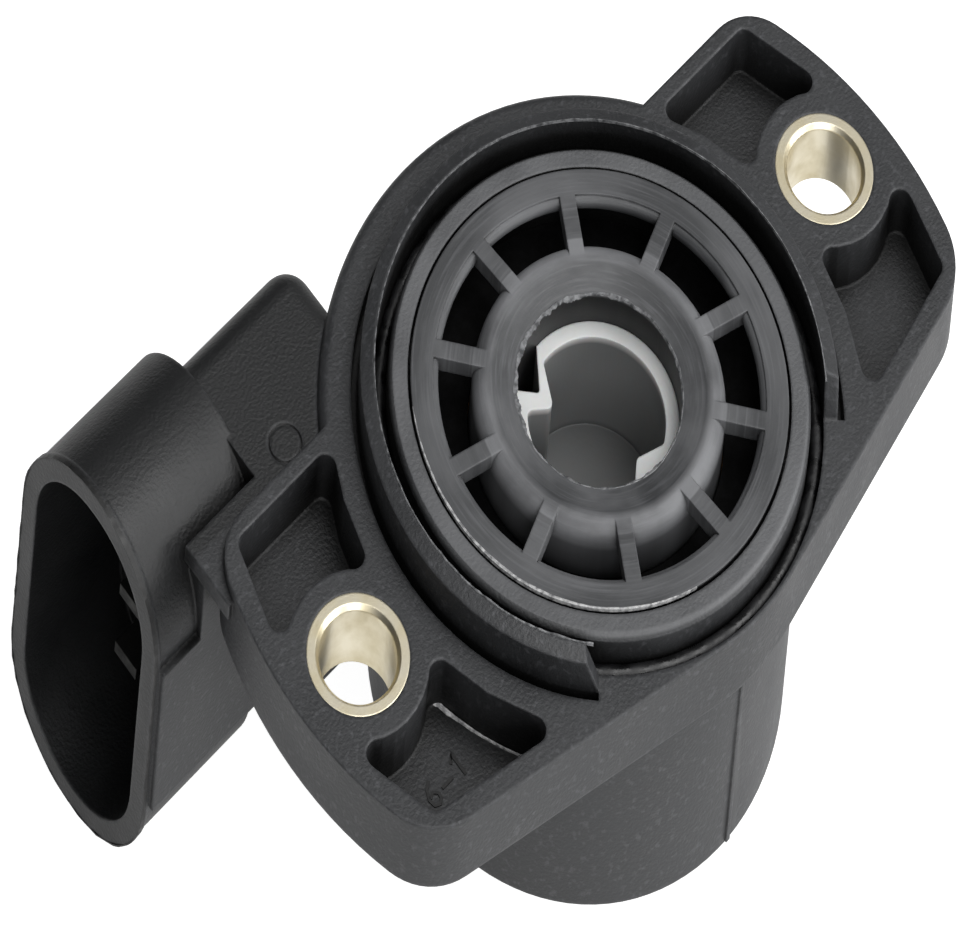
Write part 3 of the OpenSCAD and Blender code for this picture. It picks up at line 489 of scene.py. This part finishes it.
def natural_nylon():
    """Undyed nylon: milky white and a little waxy, greyed inside the socket by painted shade."""
    waxy = {"Subsurface_Weight": 0.08, "Subsurface_Scale": 1.5 * MM}
    made, tree, shader = new_finish("natural_nylon", IOR=NYLON_IOR, **waxy)
    rounded = add_node(tree, "Bevel", {"Radius": SOCKET_EDGE * MM}, samples=EDGE_SAMPLES)
    cloud = speckle(tree, 2.5, 4.0)
    _, _, place = whereabouts(tree)
    # Painted shade greys the socket below its rim, and its floor more.
    socket_shade = region(tree, (place["Z"], SOCKET_TOP_Z - 0.05, SOCKET_TOP_Z - 0.5))
    socket_floor_shade = region(tree, (place["Z"], SOCKET_FLOOR_Z + 0.4, SOCKET_FLOOR_Z + 0.05))
    colour = layered(
        tree,
        "#fbfbfa",
        (cloud, 0.35, 0.7, 1.0, "#efefed"),
        (socket_shade, 0.0, 1.0, 1.0, "#8a8b8b"),
        (socket_floor_shade, 0.0, 1.0, 1.0, "#6f7070"),
    )
    relief = [(speckle(tree, 0.3), 0.006)]
    feed(tree, shader, colour, relief, (cloud, 0.3, 0.7, 0.34, 0.46), rounded)
    return made


def spring_steel():
    """Rolled spring strip: bright grey with fine drawn lines."""
    made, tree, shader = new_finish("spring_steel", Metallic=1.0)
    lines = speckle(tree, 0.1, 3.0, stretch=(0.1, 1.0, 1.0))
    colour = layered(tree, "#a9aaad", (lines, 0.3, 0.7, 1.0, "#8b8c90"))
    feed(tree, shader, colour, [(lines, 0.003)], (lines, 0.3, 0.7, 0.28, 0.42))
    return made


def tinned_bronze():
    """Bronze strip dipped in tin that air has dulled: dark grey, cloudy and soft in its shine."""
    made, tree, shader = new_finish("tinned_bronze", Metallic=1.0)
    rounded = add_node(tree, "Bevel", {"Radius": STRIP_EDGE * MM}, samples=EDGE_SAMPLES)
    cloud = speckle(tree, 0.8, 4.0)
    colour = layered(tree, "#4e4e4d", (cloud, 0.35, 0.7, 1.0, "#383838"))
    relief = [(speckle(tree, 0.2), 0.004)]
    feed(tree, shader, colour, relief, (cloud, 0.3, 0.7, 0.46, 0.62), rounded)
    return made


def glass_laminate():
    """Green glass-cloth laminate: the weave shows faintly under the resin."""
    made, tree, shader = new_finish("glass_laminate", IOR=1.5, Roughness=0.38)
    place = add_node(tree, "TexCoord").outputs["Object"]
    threads = {"Vector": place, "Scale": WAVE_BAND / (CLOTH_PITCH * MM)}
    warp = add_node(tree, "TexWave", threads).outputs["Fac"]
    weft = add_node(tree, "TexWave", threads, bands_direction="Y").outputs["Fac"]
    cloth = add_node(tree, "Math", {0: warp, 1: weft}, operation="MULTIPLY")
    colour = layered(tree, "#2c4a33", (cloth, 0.0, 1.0, 1.0, "#3c6144"))
    feed(tree, shader, colour, [(cloth, 0.01)])
    return made


def printed_ink(name, dark, pale, roughness, metallic=0.0):
    """Screen-printed ink, baked on: a dry, slightly pebbled film."""
    made, tree, shader = new_finish(name, Metallic=metallic, Roughness=roughness)
    grain = speckle(tree, 0.15, 3.0)
    colour = layered(tree, dark, (grain, 0.3, 0.7, 1.0, pale))
    feed(tree, shader, colour, [(grain, 0.008)])
    return made


FINISHES = {
    "black_moulding": glass_filled_nylon(),
    "rotor_moulding": spun_nylon(),
    "natural_moulding": natural_nylon(),
    "brass_bush": turned_brass("turned_brass", "#efe7d0", "#d6cbac"),
    "rivet_brass": turned_brass("pressed_brass", "#cfae6b", "#a98a4c"),
    "bearing_bronze": turned_brass("sintered_bronze", "#9a7448", "#6f5230", 0.5),
    "seal_rubber": nitrile_rubber(),
    "spring_steel": spring_steel(),
    "tinned_strip": tinned_bronze(),
    "board_laminate": glass_laminate(),
    "carbon_ink": printed_ink("carbon_ink", "#141416", "#2a2a2d", 0.55),
    "silver_ink": printed_ink("silver_ink", "#8d8e90", "#b9babc", 0.45, 0.8),
}


def dress_cad_nodes():
    """Gives each CAD node the finish of its material slot, or one of its own."""
    own_finish = {"dust_seal": dusty_rubber()}
    for part in frame["record"]["subparts"]:
        finish = own_finish.get(part["node"], FINISHES[part["material_slot"]])
        for slot in nodes[part["node"]].material_slots:
            slot.material = finish


# Small moulded details, and thin skins of painted highlight and painted shade

# Each is a thin skin whose foot is sunk a few hundredths of a millimetre, so that no gap shows.


def new_piece(name, shape, body, finish):
    """Puts a bmesh into the scene as a piece that rides on a body."""
    mesh = bpy.data.meshes.new(name)
    bmesh.ops.recalc_face_normals(shape, faces=shape.faces)
    shape.to_mesh(mesh)
    shape.free()
    piece = bpy.data.objects.new(name, mesh)
    bpy.context.scene.collection.objects.link(piece)
    mesh.materials.append(finish)
    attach(piece, body)


def ragged(angle, beat, seed):
    """A repeatable uneven number from 0 to 1 at an angle, closed over the full turn."""
    a = math.radians(angle)
    spot = Vector((math.cos(a) * beat, math.sin(a) * beat, seed))
    return min(1.0, max(0.0, 0.5 + noise.fractal(spot, 0.6, 2.0, 5)))


def skin_band(name, body, finish, sections, closed=False):
    """A closed thin skin through a row of four-point sections, each given in millimetres."""
    shape = bmesh.new()
    rows = [[shape.verts.new(Vector(p) * MM) for p in section] for section in sections]
    following = rows[1:] + rows[:1] if closed else rows[1:]
    for near, far in zip(rows, following):
        for i in range(4):
            shape.faces.new((near[i], near[(i + 1) % 4], far[(i + 1) % 4], far[i]))
    if not closed:
        shape.faces.new(rows[0])
        shape.faces.new(rows[-1][::-1])
    new_piece(name, shape, body, finish)


def polar(radius, angle, z):
    """A point in millimetres, from its distance from the rotor axis, its angle and its height."""
    a = math.radians(angle)
    return (radius * math.cos(a), radius * math.sin(a), z)


# The rotor, the pocket, the hood and the locating wall as the CAD has them, in millimetres, and
# where each skin runs, in degrees round the rotor axis
BORE_R = 5.77
BORE_LIP_Z = 1.15
ROTOR_R = 13.1
ROTOR_TOP_Z = 1.65
POCKET_R = 18.7
POCKET_FLOOR_Z = -3.5
MOUTH_X = -30.2
HOOD_LOW, HOOD_HIGH = (11.2, -24.3), (25.0, 0.0)
HOOD_CORNER_R = 6.7
CORNER_STEPS = 16
RIM_STEP = 0.5
WALL_TOP_R = 15.64
WALL_TOP_Z = 2.37
WALL_FROM, WALL_TO = -41, 224
BORE_TORN_MOST = 95
HIGHLIGHT_FROM, HIGHLIGHT_TO = 146, 256
POCKET_HIGHLIGHT_FROM, POCKET_HIGHLIGHT_TO = 191, 212


def bore_flash():
    """The torn skin round the lip of the rotor's bore, widest towards +Y."""
    sections = []
    for angle in np.arange(0, 360, 1.0):
        side = 0.4 + 0.6 * max(0.0, math.cos(math.radians(angle - BORE_TORN_MOST))) ** 0.5
        tear = ragged(angle, 7.0, 3.1) * ragged(angle, 3.0, 6.4) * side
        inner = BORE_R - 0.03 - 0.26 * tear
        outer = BORE_R + 0.06 + 0.2 * ragged(angle, 3.0, 8.2) * side
        lift = 0.02 + 0.03 * ragged(angle, 5.0, 1.7)
        sections.append([
            polar(inner, angle, BORE_LIP_Z - 0.1 + lift),
            polar(outer, angle, BORE_LIP_Z + 0.02),
            polar(outer - 0.05, angle, BORE_LIP_Z + 0.035 + lift / 2),
            polar(inner + 0.02, angle, BORE_LIP_Z - 0.04 + lift),
        ])
    skin_band("bore_flash", "rotor", torn_skin, sections, closed=True)


def rotor_edge_highlight():
    """A painted highlight along the rotor's outer edge: a pale line on one side, where the rounded
    edge catches the light.
    """
    sections = []
    for angle in np.arange(HIGHLIGHT_FROM, HIGHLIGHT_TO + 1, 1.0):
        fade = math.sin(math.pi * (angle - HIGHLIGHT_FROM) / (HIGHLIGHT_TO - HIGHLIGHT_FROM)) ** 0.5
        wide = (0.16 + 0.06 * ragged(angle, 4.0, 4.4)) * fade + 0.01
        high = 0.01 + 0.03 * fade
        sections.append([
            polar(ROTOR_R + 0.01, angle, ROTOR_TOP_Z - 0.2),
            polar(ROTOR_R + 0.01, angle, ROTOR_TOP_Z + high / 2),
            polar(ROTOR_R - wide / 2, angle, ROTOR_TOP_Z + high),
            polar(ROTOR_R - wide, angle, ROTOR_TOP_Z - 0.02),
        ])
    skin_band("rotor_edge_highlight", "rotor", highlight_skin, sections)


def wall_flash():
    """The uneven pale line along the inner top edge of the locating wall."""
    sections = []
    for angle in np.arange(WALL_FROM, WALL_TO + 1, 1.0):
        high = 0.02 + 0.1 * ragged(angle, 9.0, 5.5) ** 2
        wide = 0.05 + 0.06 * ragged(angle, 7.0, 2.4)
        sections.append([
            polar(WALL_TOP_R - 0.03, angle, WALL_TOP_Z - 0.12),
            polar(WALL_TOP_R + wide, angle, WALL_TOP_Z - 0.1),
            polar(WALL_TOP_R + wide / 2, angle, WALL_TOP_Z + high / 2),
            polar(WALL_TOP_R - 0.03, angle, WALL_TOP_Z + high),
        ])
    skin_band("wall_flash", "housing", torn_skin, sections)


def pocket_foot_highlight():
    """A painted highlight: the thin pale line at the foot of the low pocket's curved wall, on the
    connector's side.
    """
    sections = []
    for angle in np.arange(POCKET_HIGHLIGHT_FROM, POCKET_HIGHLIGHT_TO, 0.5):
        share = (angle - POCKET_HIGHLIGHT_FROM) / (POCKET_HIGHLIGHT_TO - POCKET_HIGHLIGHT_FROM)
        wide = 0.06 + 0.3 * (1 - share) ** 3 * (0.6 + 0.4 * ragged(angle, 20.0, 7.7))
        sections.append([
            polar(POCKET_R - 0.02, angle, POCKET_FLOOR_Z - 0.02),
            polar(POCKET_R + wide, angle, POCKET_FLOOR_Z - 0.02),
            polar(POCKET_R + wide / 2, angle, POCKET_FLOOR_Z + 0.08),
            polar(POCKET_R - 0.02, angle, POCKET_FLOOR_Z + 0.12),
        ])
    skin_band("pocket_foot_highlight", "housing", highlight_skin, sections)


def hood_rim_points():
    """Points every half millimetre round the hood's outline, as (y, z) with the way outwards."""
    middle_y = (HOOD_LOW[0] + HOOD_HIGH[0]) / 2
    middle_z = (HOOD_LOW[1] + HOOD_HIGH[1]) / 2
    half_y = (HOOD_HIGH[0] - HOOD_LOW[0]) / 2 - HOOD_CORNER_R
    half_z = (HOOD_HIGH[1] - HOOD_LOW[1]) / 2 - HOOD_CORNER_R
    points = []
    for quarter, (side_y, side_z) in enumerate([(1, 1), (-1, 1), (-1, -1), (1, -1)]):
        centre = (middle_y + side_y * half_y, middle_z + side_z * half_z)
        for step in range(CORNER_STEPS + 1):
            a = math.radians(quarter * 90 + step * 90 / CORNER_STEPS)
            out = (math.cos(a), math.sin(a))
            y, z = (middle + HOOD_CORNER_R * way for middle, way in zip(centre, out))
            points.append((y, z, out))
        straight = 2 * (half_z if quarter % 2 else half_y)
        start_y, start_z, out = points[-1]
        for step in range(1, int(straight / RIM_STEP)):
            along = step * RIM_STEP
            points.append((start_y - out[1] * along, start_z + out[0] * along, out))
    return points


def hood_mouth_flash_and_shade():
    """The fine uneven fringe round the outer edge of the hood's mouth, in near-black painted shade.
    """
    sections = []
    for index, (y, z, out) in enumerate(hood_rim_points()):
        torn = ragged(index * 2.3, 12.0, 9.1) ** 2
        proud = 0.01 + 0.03 * torn
        front = 0.01 + 0.05 * torn
        sections.append([
            (MOUTH_X + 0.3, y - 0.05 * out[0], z - 0.05 * out[1]),
            (MOUTH_X + 0.25, y + proud * out[0], z + proud * out[1]),
            (MOUTH_X - front, y + proud / 2 * out[0], z + proud / 2 * out[1]),
            (MOUTH_X - front, y - 0.08 * out[0], z - 0.08 * out[1]),
        ])
    # The fringe is painted near black, as shade along the mouth's edge.
    skin_band("hood_mouth_flash_and_shade", "housing", shade_skin, sections, closed=True)


# The cavity's number, as strokes in millimetres from each sign's lower left corner
CAVITY_SIGNS = {
    "six": [
        (0.72, 1.45), (0.3, 1.15), (0.04, 0.6), (0.12, 0.15), (0.45, 0.0), (0.76, 0.2),
        (0.78, 0.55), (0.5, 0.8), (0.15, 0.62),
    ],
    "dash": [(0.0, 0.7), (0.95, 0.7)],
    "one": [(0.0, 1.05), (0.4, 1.5), (0.4, 0.0)],
}
CAVITY_PLACES = {"six": (-22.5, -8.0), "dash": (-21.35, -8.15), "one": (-20.0, -7.9)}
STROKE_WIDTH = 0.24


def cavity_mark():
    """A plain number in low relief on the pocket's floor, as moulders mark their cavities. Its
    strokes are painted near black, standing in for the shade of engraved strokes.
    """
    for sign, strokes in CAVITY_SIGNS.items():
        corner = Vector(CAVITY_PLACES[sign])
        points = [corner + Vector(p) for p in strokes]
        sections = []
        for index, point in enumerate(points):
            ahead = points[min(index + 1, len(points) - 1)] - points[max(index - 1, 0)]
            side = Vector((-ahead.y, ahead.x)).normalized() * STROKE_WIDTH / 2
            low, high = POCKET_FLOOR_Z - 0.05, POCKET_FLOOR_Z + 0.05
            sections.append([
                (*(point - side), low),
                (*(point + side), low),
                (*(point + side * 0.8), high),
                (*(point - side * 0.8), high),
            ])
        # The strokes are painted shade.
        skin_band("cavity_" + sign, "housing", shade_skin, sections)


torn_skin = torn_flash()
# Pale skin for painted highlights
highlight_skin = painted_highlight_nylon()
# Near-black skin for painted shade
shade_skin = painted_shade_nylon()

make_camera()
make_room()
make_floor()
for lamp_settings in LAMPS:
    softbox(*lamp_settings)

dress_cad_nodes()
bore_flash()
rotor_edge_highlight()
wall_flash()
pocket_foot_highlight()
hood_mouth_flash_and_shade()
cavity_mark()

bpy.context.scene.view_settings.view_transform = "Standard"
